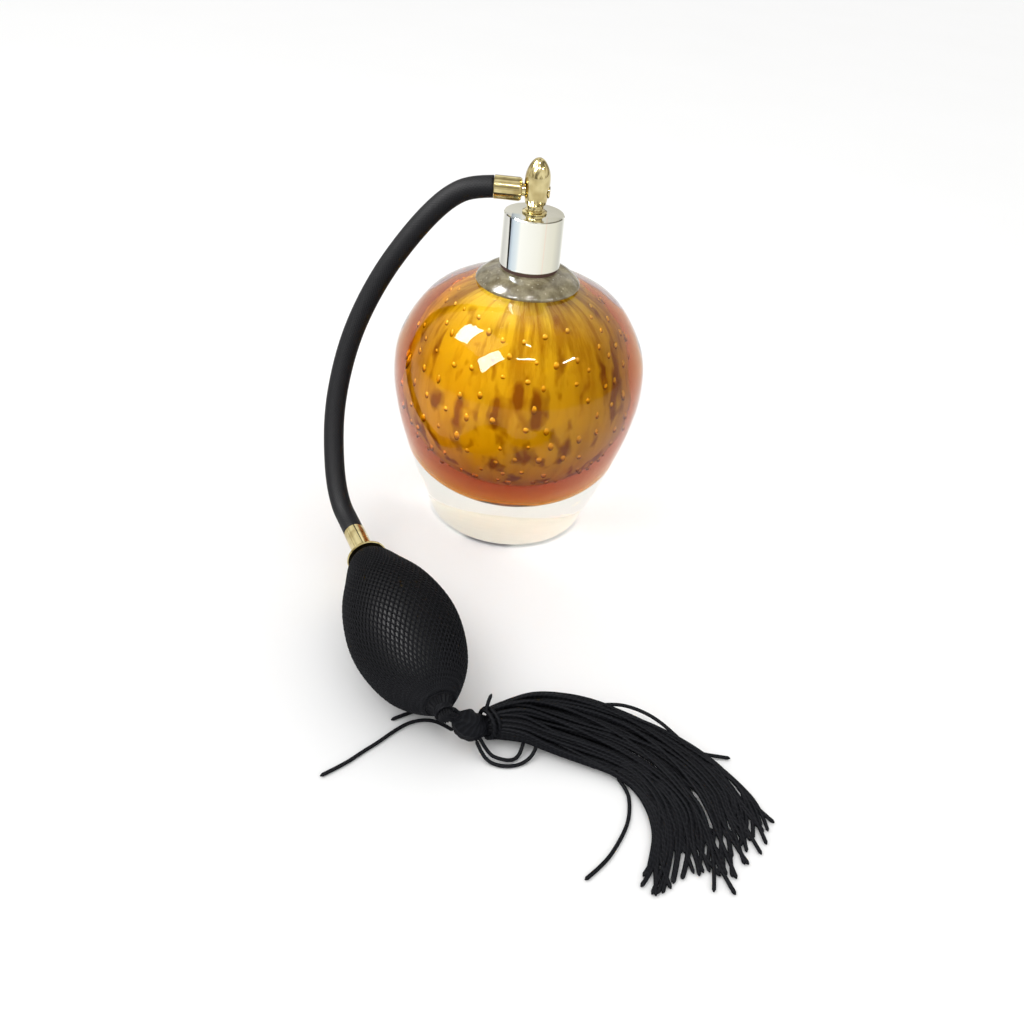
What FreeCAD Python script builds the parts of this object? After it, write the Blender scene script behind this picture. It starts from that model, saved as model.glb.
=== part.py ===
import FreeCAD, Part
import math
import os
import Sketcher

V = FreeCAD.Vector

# ---------------------------------------------------------------- driving dimensions, mm
SIZES = {
    # glass bottle
    "foot_radius": 27.0,
    "body_radius": 45.2,
    "body_widest": 58.0,
    "reservoir_floor": 26.0,
    "reservoir_radius": 35.5,
    "ring_radius": 18.0,
    "ring_bottom": 93.4,
    "ring_top": 98.8,
    "ring_seat": 10.4,
    "neck_radius": 7.5,
    "neck_bore": 6.2,
    "neck_top": 112.4,
    # threaded collar on the neck, its cement and its gasket
    "cement_wall": 0.2,
    "collar_bottom": 99.9,
    "collar_root": 8.45,
    "collar_flange": 9.0,
    "gasket_radius": 9.7,
    "thread_pitch": 1.8,
    "thread_depth": 0.6,
    "thread_width": 0.75,
    "thread_start": 102.6,
    "thread_turns": 4.0,
    # screw cap
    "cap_bottom": 100.0,
    "cap_top": 117.3,
    "cap_radius": 10.3,
    "cap_taper": 0.3,
    "cap_bore": 9.25,
    "cap_roof": 1.2,
    "cap_eye": 3.2,
    # washer, stem and base ring under the head
    "washer_radius": 8.8,
    "washer_thickness": 1.2,
    "flange_radius": 8.6,
    "stem_radius": 3.0,
    "spigot_radius": 2.0,
    "base_ring_radius": 4.1,
    "waist_radius": 2.8,
    # spray head, arm and jets
    "head_bottom": 119.0,
    "head_radius": 4.15,
    "head_top": 134.7,
    "arm_height": 124.3,
    "cross_bore": 1.6,
    "arm_radius": 2.0,
    "ferrule_radius": 3.7,
    "ferrule_end": 13.8,
    "tube_radius": 1.2,
    "tube_bore": 0.7,
    "tube_bottom": 29.0,
    # hose
    "hose_radius": 3.5,
    "hose_bore": 1.95,
    # bulb, lying with its axis level
    "bulb_height": 17.4,
    "bulb_length": 67.5,
    "rubber_radius": 16.8,
    "rubber_wall": 1.7,
    "net_gap": 0.15,
    "net_thickness": 0.35,
    "mouth_bore": 3.1,
    "tail_bore": 3.4,
    "mouth_flange": 6.8,
    "bulb_ferrule": 15.0,
    # intake valve and tassel
    "valve_radius": 3.3,
    "ball_radius": 1.5,
    "tie_radius": 0.9,
    "knot_radius": 5.2,
    "strand_radius": 0.55,
    "skirt_height": 2.6,
    "pile_height": 8.5,
}

doc = FreeCAD.newDocument("perfume_atomiser")
sheet = doc.addObject("Spreadsheet::Sheet", "Dims")
for row, (alias, number) in enumerate(SIZES.items(), start=1):
    sheet.set(f"A{row}", alias)
    sheet.set(f"B{row}", str(number))
    sheet.setAlias(f"B{row}", alias)
doc.recompute()


class Size:
    """A length with its value and the sheet expression that it comes from."""

    def __init__(self, value, text):
        self.value = float(value)
        self.text = text

    def __add__(self, other):
        other = size(other)
        return Size(self.value + other.value, f"({self.text} + {other.text})")

    def __sub__(self, other):
        other = size(other)
        return Size(self.value - other.value, f"({self.text} - {other.text})")

    def __mul__(self, factor):
        return Size(self.value * factor, f"({self.text} * {factor})")

    def __neg__(self):
        return Size(-self.value, f"(0 - {self.text})")


def size(number):
    """A Size from a Size or from a plain number."""
    return number if isinstance(number, Size) else Size(number, repr(float(number)))


def dim(alias):
    """The Size of a cell of the sheet."""
    return Size(SIZES[alias], f"Dims.{alias}")


NODES = {}


def node(obj, name):
    """Registers an object of the document as a sub-part under its own label."""
    obj.Label = name
    NODES[name] = obj
    return obj


def placed(origin, direction=(0, 0, 1)):
    """The placement that takes a part's own +Z axis to a direction, and its origin to a point."""
    return FreeCAD.Placement(V(*origin), FreeCAD.Rotation(V(0, 0, 1), V(*direction)))


# ---------------------------------------------------------------- helpers for turned parts
def draw(sketch, outline):
    """A closed outline of straight lines whose corners (radius, height) are bound to the sheet."""
    corners = [(size(across), size(up)) for across, up in outline]
    points = [V(across.value, up.value, 0) for across, up in corners]
    for index, point in enumerate(points):
        following = points[(index + 1) % len(points)]
        sketch.addGeometry(Part.LineSegment(point, following), False)
    for index, (across, up) in enumerate(corners):
        following = (index + 1) % len(points)
        sketch.addConstraint(Sketcher.Constraint("Coincident", index, 2, following, 1))
        for kind, length in (("DistanceX", across), ("DistanceY", up)):
            number = sketch.addConstraint(
                Sketcher.Constraint(kind, -1, 1, index, 1, length.value))
            sketch.setExpression(f"Constraints[{number}]", length.text)


def new_sketch(body, name):
    """A sketch on the body's own XZ plane, so its vertical axis is the body's Z axis."""
    sketch = body.newObject("Sketcher::SketchObject", name)
    plane = next(f for f in body.Origin.OriginFeatures if f.Role == "XZ_Plane")
    sketch.AttachmentSupport = (plane, [""])
    sketch.MapMode = "FlatFace"
    return sketch


def turned(name, outline, placement=None):
    """A body turned on a lathe: an outline of straight lines revolved about the body's Z axis."""
    body = doc.addObject("PartDesign::Body", name)
    sketch = new_sketch(body, name + "_outline")
    draw(sketch, outline)
    turn = body.newObject("PartDesign::Revolution", name + "_turn")
    turn.Profile = sketch
    turn.ReferenceAxis = (sketch, ["V_Axis"])
    turn.Angle = 360.0
    sketch.Visibility = False
    body.Tip = turn
    if placement:
        body.Placement = placement
    return node(body, name)


def add_thread(body, root, crest, start):
    """Adds a right-hand thread: a trapezoid ridge from its root radius to its crest radius."""
    sketch = new_sketch(body, body.Name + "_thread_section")
    half = dim("thread_width") * 0.5
    tip = dim("thread_width") * 0.3
    draw(sketch, [(root, start - half), (crest, start - tip), (crest, start + tip),
                  (root, start + half)])
    thread = body.newObject("PartDesign::AdditiveHelix", body.Name + "_thread")
    thread.Profile = sketch
    thread.ReferenceAxis = (sketch, ["V_Axis"])
    thread.Mode = 1
    thread.setExpression("Pitch", "Dims.thread_pitch * 1 mm")
    thread.setExpression("Turns", "Dims.thread_turns")
    thread.LeftHanded = False
    sketch.Visibility = False
    body.Tip = thread


def cylinder(name, radius, height, origin, direction=(0, 0, 1)):
    """A plain cylinder with its sizes bound to the sheet."""
    solid = doc.addObject("Part::Cylinder", name)
    solid.setExpression("Radius", size(radius).text)
    solid.setExpression("Height", size(height).text)
    solid.Placement = placed(origin, direction)
    return solid


def cut(name, base, *tools):
    """Base less each tool in turn, as a chain of Part::Cut."""
    for index, tool in enumerate(tools):
        result = doc.addObject("Part::Cut", f"{name}_cut_{index}")
        result.Base = base
        result.Tool = tool
        base = result
    return base


def free_form(name, shape, placement=None):
    """A Part::Feature that holds a shape with curved outlines."""
    feature = doc.addObject("Part::Feature", name)
    feature.Shape = shape
    if placement:
        feature.Placement = placement
    return feature


def spline(points):
    """A smooth curve through (radius, height) points, drawn in the XZ plane."""
    curve = Part.BSplineCurve()
    curve.interpolate([V(across, 0, up) for across, up in points])
    return curve.toShape()


def lines(points):
    """Straight edges from each (radius, height) point to the next, in the XZ plane."""
    corners = [V(across, 0, up) for across, up in points]
    return [Part.makeLine(a, b) for a, b in zip(corners, corners[1:])]


def spun(edges, angle=360.0, start=0.0):
    """A solid of revolution about Z from a closed chain of edges in the XZ plane."""
    face = Part.Face(Part.Wire(Part.__sortEdges__(edges)))
    face.rotate(V(0, 0, 0), V(0, 0, 1), start)
    return face.revolve(V(0, 0, 0), V(0, 0, 1), angle)


# ---------------------------------------------------------------- the glass bottle
def glass_bottle():
    """Round-shouldered bottle with a thick base, a flared ring and a plain neck, all one glass."""
    foot = SIZES["foot_radius"]
    wide = SIZES["body_radius"]
    ring = SIZES["ring_radius"]
    low, high = SIZES["ring_bottom"], SIZES["ring_top"]
    neck, bore, top = SIZES["neck_radius"], SIZES["neck_bore"], SIZES["neck_top"]
    floor, hollow = SIZES["reservoir_floor"], SIZES["reservoir_radius"]
    widest = SIZES["body_widest"]
    wall_foot = ring - 0.7
    body = [(foot, 0.0), (foot + 3.0, 1.4), (foot + 4.4, 5.0), (34.0, 12.0), (37.4, 22.0),
            (41.1, 34.0), (43.9, 46.0), (wide, widest), (44.0, 69.0), (39.2, 79.0),
            (33.0, 86.6), (25.6, 91.0), (wall_foot, low)]
    edge = [(wall_foot, low), (ring, low + 0.7), (ring - 0.5, low + 1.6), (14.2, high - 1.3),
            (SIZES["ring_seat"], high)]
    inside = [(bore, 95.4), (8.0, 92.6), (16.0, 88.0), (26.5, 80.0), (33.0, 70.0),
              (hollow, widest), (34.4, 47.0), (29.0, 36.0), (16.0, 28.4), (0.0, floor)]
    edges = lines([(0.0, 0.0), (foot, 0.0)])
    edges.append(spline(body))
    edges.append(spline(edge))
    edges += lines([(SIZES["ring_seat"], high), (neck, high), (neck, top), (bore, top),
                    inside[0]])
    edges.append(spline(inside))
    edges += lines([(0.0, floor), (0.0, 0.0)])
    return node(free_form("glass_bottle", spun(edges)), "glass_bottle")


glass_bottle()


# ---------------------------------------------------------------- collar, gasket and cement
cement_out = dim("neck_radius") + dim("cement_wall")

turned("neck_gasket", [
    (cement_out, dim("ring_top")), (dim("gasket_radius"), dim("ring_top")),
    (dim("gasket_radius"), dim("collar_bottom")), (cement_out, dim("collar_bottom"))])

turned("collar_cement", [
    (dim("neck_radius"), dim("ring_top")), (cement_out, dim("ring_top")),
    (cement_out, dim("neck_top") - 0.4), (dim("neck_radius"), dim("neck_top") - 0.4)])

collar = turned("threaded_collar", [
    (cement_out, dim("collar_bottom")), (dim("collar_flange"), dim("collar_bottom")),
    (dim("collar_flange"), dim("collar_bottom") + 1.0),
    (dim("collar_root"), dim("collar_bottom") + 1.0),
    (dim("collar_root"), dim("neck_top") - 0.3), (dim("collar_root") - 0.3, dim("neck_top")),
    (cement_out, dim("neck_top"))])
add_thread(collar, dim("collar_root") - 0.1, dim("collar_root") + dim("thread_depth"),
           dim("thread_start"))


# ---------------------------------------------------------------- screw cap
def screw_cap():
    """Slightly tapered cap with an eye in its roof and a thread inside its skirt."""
    bottom, top, outer = dim("cap_bottom"), dim("cap_top"), dim("cap_radius")
    bore, eye = dim("cap_bore"), dim("cap_eye")
    under = top - dim("cap_roof")
    cap = turned("screw_cap", [
        (bore, bottom), (outer - 0.25, bottom), (outer, bottom + 0.3),
        (outer - dim("cap_taper"), top - 0.3), (outer - dim("cap_taper") - 0.3, top),
        (eye, top), (eye, under), (bore, under)])
    add_thread(cap, bore + 0.1, bore - dim("thread_depth"),
               dim("thread_start") - dim("thread_pitch") * 0.5)
    return cap


screw_cap()


# ---------------------------------------------------------------- washer, stem and base ring
washer_top = dim("neck_top") + dim("washer_thickness")
flange_top = dim("cap_top") - dim("cap_roof") - 0.05

turned("sealing_washer", [
    (dim("tube_radius") + 0.2, dim("neck_top")), (dim("washer_radius"), dim("neck_top")),
    (dim("washer_radius"), washer_top), (dim("tube_radius") + 0.2, washer_top)])

turned("head_stem", [
    (dim("tube_radius"), washer_top), (dim("flange_radius"), washer_top),
    (dim("flange_radius"), flange_top), (dim("stem_radius"), flange_top),
    (dim("stem_radius"), dim("cap_top") + 0.1), (dim("spigot_radius"), dim("cap_top") + 0.1),
    (dim("spigot_radius"), dim("arm_height") - 2.6), (dim("tube_radius"), dim("arm_height") - 2.6)])

turned("base_ring", [
    (dim("spigot_radius"), dim("cap_top") + 0.1),
    (dim("base_ring_radius"), dim("cap_top") + 0.1),
    (dim("base_ring_radius"), dim("cap_top") + 0.5), (dim("waist_radius") + 0.5, dim("cap_top") + 0.8),
    (dim("waist_radius") + 0.5, dim("cap_top") + 1.1), (dim("waist_radius") + 0.1, dim("cap_top") + 1.3),
    (dim("waist_radius"), dim("head_bottom")), (dim("spigot_radius"), dim("head_bottom"))])


# ---------------------------------------------------------------- spray head and its inserts
def spray_head():
    """Bullet-shaped head with a cross bore for air and a socket for the stem."""
    wide, low, top = SIZES["head_radius"], SIZES["head_bottom"], SIZES["head_top"]
    waist, level = SIZES["waist_radius"], SIZES["arm_height"]
    bullet = [(wide - 0.75, low + 1.3), (wide - 0.35, low + 3.4), (wide - 0.08, low + 6.4),
              (wide, low + 8.8), (3.72, 130.6), (2.6, 132.9), (1.15, 134.4), (0.0, top)]
    edges = lines([(0.0, low), (waist, low), (waist, low + 0.9), bullet[0]])
    edges.append(spline(bullet))
    edges += lines([(0.0, top), (0.0, low)])
    solid = free_form("spray_head_blank", spun(edges))
    half = wide + 1.0
    cross = cylinder("cross_bore", dim("cross_bore"), 2.0 * half, (-half, 0, level), (1, 0, 0))
    socket = cylinder("stem_socket", dim("spigot_radius"), 2.7, (0, 0, low), (0, 0, 1))
    riser = cylinder("riser_bore", dim("tube_radius"), level - low - 1.0, (0, 0, low))
    seat_out = cylinder("nozzle_seat", 2.1, 2.0, (3.75, 0, level), (1, 0, 0))
    seat_in = cylinder("arm_seat", 2.3, 2.0, (-3.6, 0, level), (-1, 0, 0))
    return node(cut("spray_head", solid, cross, socket, riser, seat_out, seat_in), "spray_head")


spray_head()

arm_left = placed((0, 0, SIZES["arm_height"]), (-1, 0, 0))
arm_right = placed((0, 0, SIZES["arm_height"]), (1, 0, 0))

turned("side_arm", [
    (1.0, 1.7), (dim("cross_bore"), 1.7), (dim("cross_bore"), 3.6), (dim("arm_radius"), 3.6),
    (dim("arm_radius"), dim("ferrule_end")), (1.55, dim("ferrule_end")),
    (1.55, dim("ferrule_end") + 1.4), (1.85, dim("ferrule_end") + 1.5),
    (1.45, dim("ferrule_end") + 2.9), (1.75, dim("ferrule_end") + 3.0),
    (1.35, dim("ferrule_end") + 4.4), (1.0, dim("ferrule_end") + 4.4)], arm_left)

turned("arm_ferrule", [
    (dim("arm_radius"), 4.7), (dim("ferrule_radius") - 1.1, 4.7),
    (dim("ferrule_radius") - 0.35, 4.95), (dim("ferrule_radius"), 5.6),
    (dim("ferrule_radius"), dim("ferrule_end") - 0.15),
    (dim("ferrule_radius") - 0.15, dim("ferrule_end")), (dim("arm_radius"), dim("ferrule_end"))],
    arm_left)

turned("air_jet", [
    (0.3, 0.3), (0.5, 0.3), (1.0, 1.3), (1.0, 2.8), (0.75, 2.8), (0.75, 1.6), (0.3, 1.0)], arm_left)

turned("siphon_jet", [
    (0.25, dim("arm_height") - 1.6), (dim("tube_radius"), dim("arm_height") - 1.6),
    (dim("tube_radius"), dim("arm_height") - 1.2), (0.5, dim("arm_height") - 0.8),
    (0.25, dim("arm_height") - 0.8)])

turned("nozzle_insert", [
    (0.3, 3.2), (1.1, 2.2), (dim("cross_bore"), 2.2), (dim("cross_bore"), 3.75),
    (1.95, 3.75), (1.95, 4.15), (1.6, 4.35), (0.7, 4.35), (0.3, 4.05)], arm_right)

turned("dip_tube", [
    (dim("tube_bore"), dim("tube_bottom")), (dim("tube_radius"), dim("tube_bottom") + 1.2),
    (dim("tube_radius"), dim("arm_height") - 1.6), (dim("tube_bore"), dim("arm_height") - 1.6)])


# ---------------------------------------------------------------- hose
# From the arm ferrule's mouth down beside the bottle, then forward along the bulb's axis.
HOSE_ROUTE = [
    (-13.8, 0.0, 124.3), (-20.6, 0.0, 123.7), (-27.4, -0.6, 120.4), (-34.3, -1.9, 113.8),
    (-41.3, -3.5, 105.0), (-48.2, -5.2, 94.8), (-54.2, -7.4, 83.6), (-59.1, -10.5, 71.6),
    (-62.3, -14.9, 58.9), (-63.8, -20.6, 46.2), (-63.0, -27.2, 34.8), (-61.1, -33.9, 25.4),
    (-58.1, -39.8, 19.4), (-54.6, -44.9, 17.4), (-51.3, -51.14, 17.4)]


def tangent_path(route, name):
    """Straight runs joined by tangent arcs. Returns the wire and prints the arcs' radii."""
    points = [V(*p) for p in route]
    edges = []
    radii = []
    here = points[0]
    for before, corner, after in zip(points, points[1:], points[2:]):
        into = corner - before
        out = after - corner
        reach = 0.45 * min(into.Length, out.Length)
        half_turn = into.getAngle(out) / 2.0
        radii.append(reach / math.tan(half_turn))
        u = V(into).normalize()
        w = V(out).normalize()
        start = corner - u * reach
        end = corner + w * reach
        inward = V(w - u).normalize()
        middle = corner + inward * (radii[-1] / math.cos(half_turn) - radii[-1])
        edges.append(Part.LineSegment(here, start).toShape())
        edges.append(Part.Arc(start, middle, end).toShape())
        here = end
    edges.append(Part.LineSegment(here, points[-1]).toShape())
    print(name, "arc radii", " ".join(f"{r:.1f}" for r in radii))
    return Part.Wire(edges)


def swept(path, radius):
    """A round bar of one radius along a path."""
    start = path.Edges[0]
    heading = start.tangentAt(start.FirstParameter)
    section = Part.Wire(Part.makeCircle(radius, start.firstVertex().Point, heading))
    bar = path.makePipeShell([section], True, True)
    expected = math.pi * radius * radius * path.Length
    assert abs(bar.Volume - expected) < 0.02 * expected, "the sweep has lost volume"
    return bar


def rubber_hose():
    """Black rubber hose: a round tube with an open bore."""
    path = tangent_path(HOSE_ROUTE, "rubber_hose")
    tube = swept(path, SIZES["hose_radius"]).cut(swept(path, SIZES["hose_bore"]))
    print("hose length", round(path.Length, 1))
    return node(free_form("rubber_hose", tube), "rubber_hose")


rubber_hose()


# ---------------------------------------------------------------- bulb
# The bulb's own frame: X to its right side, Y up, Z along its axis from the mouth to the tail.
BULB_MOUTH = V(-44.3, -64.4, SIZES["bulb_height"])
BULB_HEADING = math.radians(27.8)
BULB_AXIS = V(math.sin(BULB_HEADING), -math.cos(BULB_HEADING), 0)
BULB_SIDE = V(math.cos(BULB_HEADING), math.sin(BULB_HEADING), 0)
BULB_FRAME = FreeCAD.Placement(
    BULB_MOUTH, FreeCAD.Rotation(BULB_SIDE, V(0, 0, 1), BULB_AXIS, "ZXY"))


def along_bulb(distance):
    """The point of the bulb's axis at a distance from its mouth."""
    return BULB_MOUTH + BULB_AXIS * distance


def bulb_outline(grow):
    """The rubber's outer curve from mouth to tail, grown outwards."""
    wide, long = SIZES["rubber_radius"], SIZES["bulb_length"]
    curve = [(4.5, 0.0), (7.2, 4.0), (10.2, 11.0), (14.5, 22.0), (wide, 36.0), (15.9, 46.0),
             (12.8, 56.0), (8.3, 63.0), (4.2, long)]
    return [(radius + grow, along) for radius, along in curve]


def rubber_half(name, start):
    """One moulded half of the hollow rubber bulb, on one side of its upright seam."""
    long, wall = SIZES["bulb_length"], SIZES["rubber_wall"]
    mouth, tail = SIZES["mouth_bore"], SIZES["tail_bore"]
    outer = bulb_outline(0.0)
    inner = [(mouth, 3.6), (8.2, 10.0), (12.8, 22.0), (SIZES["rubber_radius"] - wall, 36.0),
             (14.2, 46.0), (10.6, 56.0), (tail, 62.4)]
    edges = [spline(outer), spline(inner)]
    edges += lines([(mouth, 3.6), (mouth, 0.0), outer[0]])
    edges += lines([(tail, 62.4), (tail, long), outer[-1]])
    return node(free_form(name, spun(edges, 180.0, start), BULB_FRAME), name)


def net_half(name, start):
    """The knitted net over one half of the bulb, as a plain skin."""
    inner = bulb_outline(SIZES["net_gap"])
    outer = bulb_outline(SIZES["net_gap"] + SIZES["net_thickness"])
    edges = [spline(outer), spline(inner)]
    edges += lines([inner[0], outer[0]])
    edges += lines([inner[-1], outer[-1]])
    return node(free_form(name, spun(edges, 180.0, start), BULB_FRAME), name)


for side, start in (("right", -90.0), ("left", 90.0)):
    rubber_half(f"bulb_{side}_half", start)
    net_half(f"net_{side}_half", start)

hose_end = -dim("bulb_ferrule")

turned("bulb_connector", [
    (1.0, hose_end - 3.6), (1.3, hose_end - 3.6), (1.75, hose_end - 2.5), (1.45, hose_end - 2.4),
    (1.75, hose_end - 1.2), (1.45, hose_end - 1.1), (1.45, hose_end), (1.9, hose_end + 0.2),
    (1.9, -0.05), (2.9, -0.05), (2.9, 6.5), (2.5, 7.0), (1.0, 7.0)], BULB_FRAME)

turned("bulb_ferrule", [
    (1.9, hose_end + 0.2), (3.5, hose_end + 0.2), (3.65, hose_end + 0.4), (3.65, -4.3),
    (3.25, -4.1), (3.25, -3.6), (3.9, -3.3), (3.9, -2.7), (3.35, -2.5), (3.35, -2.1),
    (4.4, -1.7), (4.4, -0.85), (1.9, -0.85)], BULB_FRAME)

turned("bulb_flange", [
    (1.9, -0.8), (dim("mouth_flange") - 0.3, -0.8), (dim("mouth_flange"), -0.6),
    (dim("mouth_flange"), -0.35), (dim("mouth_flange") - 0.3, -0.15), (1.9, -0.15)], BULB_FRAME)


# ---------------------------------------------------------------- intake valve in the tail
VALVE_END = dim("bulb_length") + 0.5
SEAT_LINE = 0.2
BALL_CENTRE = VALVE_END - SEAT_LINE - dim("ball_radius") * math.sqrt(2.0) - 0.04

turned("valve_body", [
    (2.0, VALVE_END - 8.0), (dim("valve_radius"), VALVE_END - 8.0),
    (dim("valve_radius"), VALVE_END), (0.8, VALVE_END), (0.8, VALVE_END - 1.0),
    (2.0, VALVE_END - 2.2)], BULB_FRAME)

turned("valve_retainer", [
    (0.7, VALVE_END - 5.8), (2.0, VALVE_END - 5.8), (2.0, VALVE_END - 4.75),
    (0.7, VALVE_END - 4.75)], BULB_FRAME)

ball = doc.addObject("Part::Sphere", "valve_ball")
ball.setExpression("Radius", "Dims.ball_radius")
ball.Placement = placed(along_bulb(BALL_CENTRE.value))
node(ball, "valve_ball")


# ---------------------------------------------------------------- net gather, tie and tassel
gather = VALVE_END + 0.05

turned("net_gather", [
    (0.0, gather), (3.9, gather), (2.6, gather + 0.9), (2.6, gather + 2.0), (3.2, gather + 2.8),
    (2.4, gather + 3.7), (0.0, gather + 4.0)], BULB_FRAME)

tie = doc.addObject("Part::Torus", "net_tie")
tie.setExpression("Radius1", "Dims.tie_radius + 2.7")
tie.setExpression("Radius2", "Dims.tie_radius * 0.8")
tie.Placement = FreeCAD.Placement(along_bulb(gather.value + 1.45), BULB_FRAME.Rotation)
node(tie, "net_tie")

KNOT_CENTRE = V(-2.9, -122.6, 7.6)

knot = doc.addObject("Part::Sphere", "tassel_knot")
knot.setExpression("Radius", "Dims.knot_radius")
knot.Placement = placed(KNOT_CENTRE)
node(knot, "tassel_knot")


def tassel_loop():
    """The short cord that hangs the knot from the tied end of the net."""
    top = V(-6.9, -125.2, 15.0)
    reach = KNOT_CENTRE - top
    loop = doc.addObject("Part::Cylinder", "tassel_loop")
    loop.Radius = 1.4
    loop.Height = reach.Length - SIZES["knot_radius"] + 0.2
    loop.Placement = placed(top, reach)
    trimmed = doc.addObject("Part::Cut", "tassel_loop_trimmed")
    trimmed.Base = loop
    trimmed.Tool = knot
    return node(trimmed, "tassel_loop")


tassel_loop()

# Plan outline of the tassel's strands where they lie fanned out from the knot.
SKIRT_OUTLINE = [
    (3.2, -119.6), (9.5, -113.2), (20.0, -109.2), (34.0, -108.4), (48.0, -111.5), (62.0, -118.6),
    (75.0, -129.0), (85.4, -142.0), (80.0, -149.4), (68.0, -164.0), (50.0, -168.0), (45.6, -160.0),
    (47.6, -148.0), (43.0, -134.0), (34.0, -129.4), (17.0, -125.2), (4.0, -124.4),
]

PILE_OUTLINE = [
    (4.6, -119.4), (9.8, -113.8), (20.0, -110.0), (32.5, -109.4), (42.0, -112.0), (43.0, -117.0),
    (34.0, -121.0), (20.0, -121.4), (9.0, -121.8), (5.0, -121.6)]
STRAY_ROUTES = [
    [(-8.7, -121.4, 3.2), (-12.6, -117.6, 1.4), (-16.9, -116.2, 0.65), (-21.8, -117.7, 0.65),
     (-26.0, -121.6, 0.65), (-30.2, -126.6, 0.65), (-34.0, -130.4, 0.65), (-38.2, -135.2, 0.65),
     (-44.0, -139.8, 0.65)],
    [(-8.2, -118.4, 3.0), (-12.6, -114.4, 1.3), (-17.4, -112.6, 0.65), (-22.4, -113.9, 0.65),
     (-27.6, -117.7, 0.65)],
    [(43.4, -139.8, 0.65), (42.6, -145.6, 0.65), (39.4, -152.4, 0.65), (35.5, -158.6, 0.65),
     (30.4, -163.5, 0.65)],
]


def prism(outline, height):
    corners = [V(x, y, 0.0) for x, y in outline]
    return Part.Face(Part.makePolygon(corners + corners[:1])).extrude(V(0, 0, height))


def tassel_skirt():
    """The lying strands as one plain solid: a low fan, and the pile of strands near the knot."""
    solid = prism(SKIRT_OUTLINE, SIZES["skirt_height"]).fuse(prism(PILE_OUTLINE, SIZES["pile_height"]))
    return node(free_form("tassel_skirt", solid.removeSplitter()), "tassel_skirt")


tassel_skirt()

strays = [swept(tangent_path(route, "stray_strand"), SIZES["strand_radius"])
          for route in STRAY_ROUTES]
node(free_form("tassel_strays", Part.makeCompound(strays)), "tassel_strays")


# ---------------------------------------------------------------- checks and export
doc.recompute()

for obj in doc.Objects:
    if "Invalid" in obj.State or "Error" in obj.State:
        raise RuntimeError(f"{obj.Label} failed: {obj.State}")

for name, obj in NODES.items():
    shape = obj.Shape
    if shape.isNull() or not shape.isValid() or not shape.Solids:
        raise RuntimeError(f"{name} has no valid solid")

os.makedirs("parts", exist_ok=True)
for name, obj in NODES.items():
    obj.Shape.exportStep(f"parts/{name}.step")
    box = obj.Shape.BoundBox
    print(f"{name:18s} {obj.Shape.Volume:9.1f} mm3  z {box.ZMin:7.2f} {box.ZMax:7.2f}"
          f"  solids {len(obj.Shape.Solids)}")
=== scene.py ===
"""Looks of the perfume atomiser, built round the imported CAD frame.

Routes and outlines are in mm and are turned into metres where a mesh is made.
"""

import math
import random

import bpy
import numpy as np
from mathutils import Matrix, Vector


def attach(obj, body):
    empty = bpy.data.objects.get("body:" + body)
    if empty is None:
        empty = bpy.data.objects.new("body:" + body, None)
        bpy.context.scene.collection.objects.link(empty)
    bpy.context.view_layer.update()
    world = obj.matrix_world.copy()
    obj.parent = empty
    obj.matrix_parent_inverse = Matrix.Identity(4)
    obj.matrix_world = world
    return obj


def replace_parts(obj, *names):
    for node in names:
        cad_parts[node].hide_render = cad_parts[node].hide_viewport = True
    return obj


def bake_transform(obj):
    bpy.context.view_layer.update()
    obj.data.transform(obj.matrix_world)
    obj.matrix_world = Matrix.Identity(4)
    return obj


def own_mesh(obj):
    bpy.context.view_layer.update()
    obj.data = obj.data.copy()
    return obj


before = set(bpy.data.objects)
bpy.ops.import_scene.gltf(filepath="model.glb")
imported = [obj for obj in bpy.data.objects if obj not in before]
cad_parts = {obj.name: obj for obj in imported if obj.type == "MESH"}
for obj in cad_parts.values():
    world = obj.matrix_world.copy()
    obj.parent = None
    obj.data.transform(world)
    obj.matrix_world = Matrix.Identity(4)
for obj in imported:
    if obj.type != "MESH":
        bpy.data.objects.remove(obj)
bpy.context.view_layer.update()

MM = 0.001
UP = Vector((0.0, 0.0, 1.0))
TURN = 2.0 * math.pi
BLACK = (0.0, 0.0, 0.0)
WHITE = (1.0, 1.0, 1.0)
dice = random.Random(11)


# ---------------------------------------------------------------- camera
CAMERA_PLACE = (0.0, -294.4, 215.5)
CAMERA_TURN = (0.6, 36.9, 6.1)  # yaw, pitch down and roll, in degrees
SENSOR_WIDTH = 36.0
LENS = 31.64


def make_camera():
    """A camera in front of the bottle, well above it, looking down and rolled a little."""
    yaw, pitch, roll = (math.radians(angle) for angle in CAMERA_TURN)
    ahead = Vector((math.sin(yaw) * math.cos(pitch), math.cos(yaw) * math.cos(pitch), -math.sin(pitch)))
    right = ahead.cross(UP).normalized()
    above = right.cross(ahead)
    side = math.cos(roll) * right + math.sin(roll) * above
    top = -math.sin(roll) * right + math.cos(roll) * above
    data = bpy.data.cameras.new("camera")
    data.sensor_width = SENSOR_WIDTH
    data.lens = LENS
    data.clip_start = 0.01
    camera = bpy.data.objects.new("camera", data)
    bpy.context.scene.collection.objects.link(camera)
    turned = Matrix((side, top, -ahead)).transposed().to_4x4()
    camera.matrix_world = Matrix.Translation(Vector(CAMERA_PLACE) * MM) @ turned
    bpy.context.scene.camera = camera


make_camera()


# ---------------------------------------------------------------- materials
def set_stops(ramp_node, stops):
    """Give a colour ramp node its (place, colour) stops."""
    points = ramp_node.color_ramp.elements
    while len(points) < len(stops):
        points.new(0.5)
    for point, (place, colour) in zip(points, stops):
        point.position = place
        point.color = (*colour, 1.0)


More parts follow.
